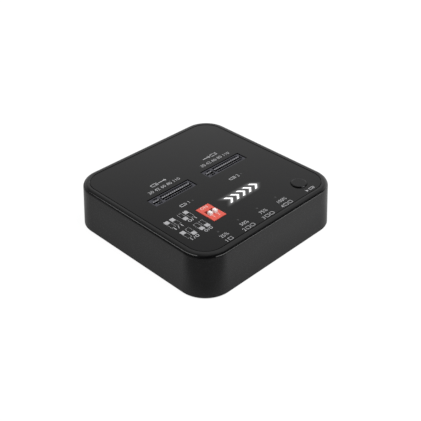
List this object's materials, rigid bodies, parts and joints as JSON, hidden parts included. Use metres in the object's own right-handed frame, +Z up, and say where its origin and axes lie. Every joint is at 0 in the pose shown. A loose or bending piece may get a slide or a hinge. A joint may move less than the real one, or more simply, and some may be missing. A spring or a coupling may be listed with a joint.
{
  "type": "drive duplicator",
  "caption": "Low square duplicator dock for M.2 drives with upright keyed card sockets, a mode switch, a start button, progress lights and rear ports.",
  "frame": {"origin": "centre of the footprint, on the surface the rubber feet stand on", "axes": "+X to the right along the front edge, +Y towards the back with the ports, +Z up"},
  "size_m": [0.0794, 0.0794, 0.0211],
  "materials": {
    "housing": "gloss",
    "panel": "gloss",
    "plate": "fine spark texture",
    "foot": "matt",
    "screw": "black nickel",
    "laminate": "solder mask",
    "socket": "satin",
    "contact": "gold plated",
    "tinned": "tinned",
    "switch_red": "satin",
    "switch_black": "satin",
    "slider_white": "satin",
    "button": "gloss",
    "guide": "clear polycarbonate",
    "lamp": "gloss",
    "port_shell": "nickel plated",
    "port_moulding": "satin",
    "chip": "matt",
    "ferrite": "matt",
    "ceramic": "matt"
  },
  "bodies": {
    "chassis": {"housing_shell": "housing", "top_panel": "panel", "base_plate": "plate", "rubber_feet": "foot", "base_screws": "screw", "main_board": "laminate", "control_board": "laminate", "link_header_pins": "contact", "link_header_strip": "switch_black", "source_socket_body": "socket", "source_socket_contacts": "contact", "source_socket_clips": "tinned", "target_socket_body": "socket", "target_socket_contacts": "contact", "target_socket_clips": "tinned", "dip_switch_cover": "switch_red", "dip_switch_base": "switch_black", "dip_switch_leads": "tinned", "start_switch_body": "switch_black", "progress_light_guide": "guide", "slot_light_guides": "guide", "status_light_diffuser": "guide", "progress_lamps": "lamp", "slot_lamps": "lamp", "status_lamps": "lamp", "usb_port_shell": "port_shell", "usb_port_tongue": "port_moulding", "power_jack_body": "port_moulding", "power_jack_pin": "port_shell", "power_switch_body": "port_shell", "controller_chip": "chip", "flash_chip": "chip", "clock_crystal": "port_shell", "bridge_chips": "chip", "power_inductors": "ferrite", "board_capacitors": "ceramic"},
    "start_key": {"start_button": "button", "start_switch_plunger": "switch_black"},
    "mode_slider_1": {"dip_slider_1": "slider_white"},
    "mode_slider_2": {"dip_slider_2": "slider_white"},
    "power_slider": {"power_switch_slider": "port_moulding"}
  },
  "joints": [
    {"name": "start_press", "type": "slide", "parent": "chassis", "child": "start_key", "axis": [0, 0, -1], "range_m": [0, 0.0005], "stiffness_N_per_m": 1200},
    {"name": "mode_1_slide", "type": "slide", "parent": "chassis", "child": "mode_slider_1", "axis": [0, 1, 0], "range_m": [0, 0.0017]},
    {"name": "mode_2_slide", "type": "slide", "parent": "chassis", "child": "mode_slider_2", "axis": [0, 1, 0], "range_m": [0, 0.0017]},
    {"name": "power_slide", "type": "slide", "parent": "chassis", "child": "power_slider", "axis": [1, 0, 0], "range_m": [0, 0.002]}
  ]
}
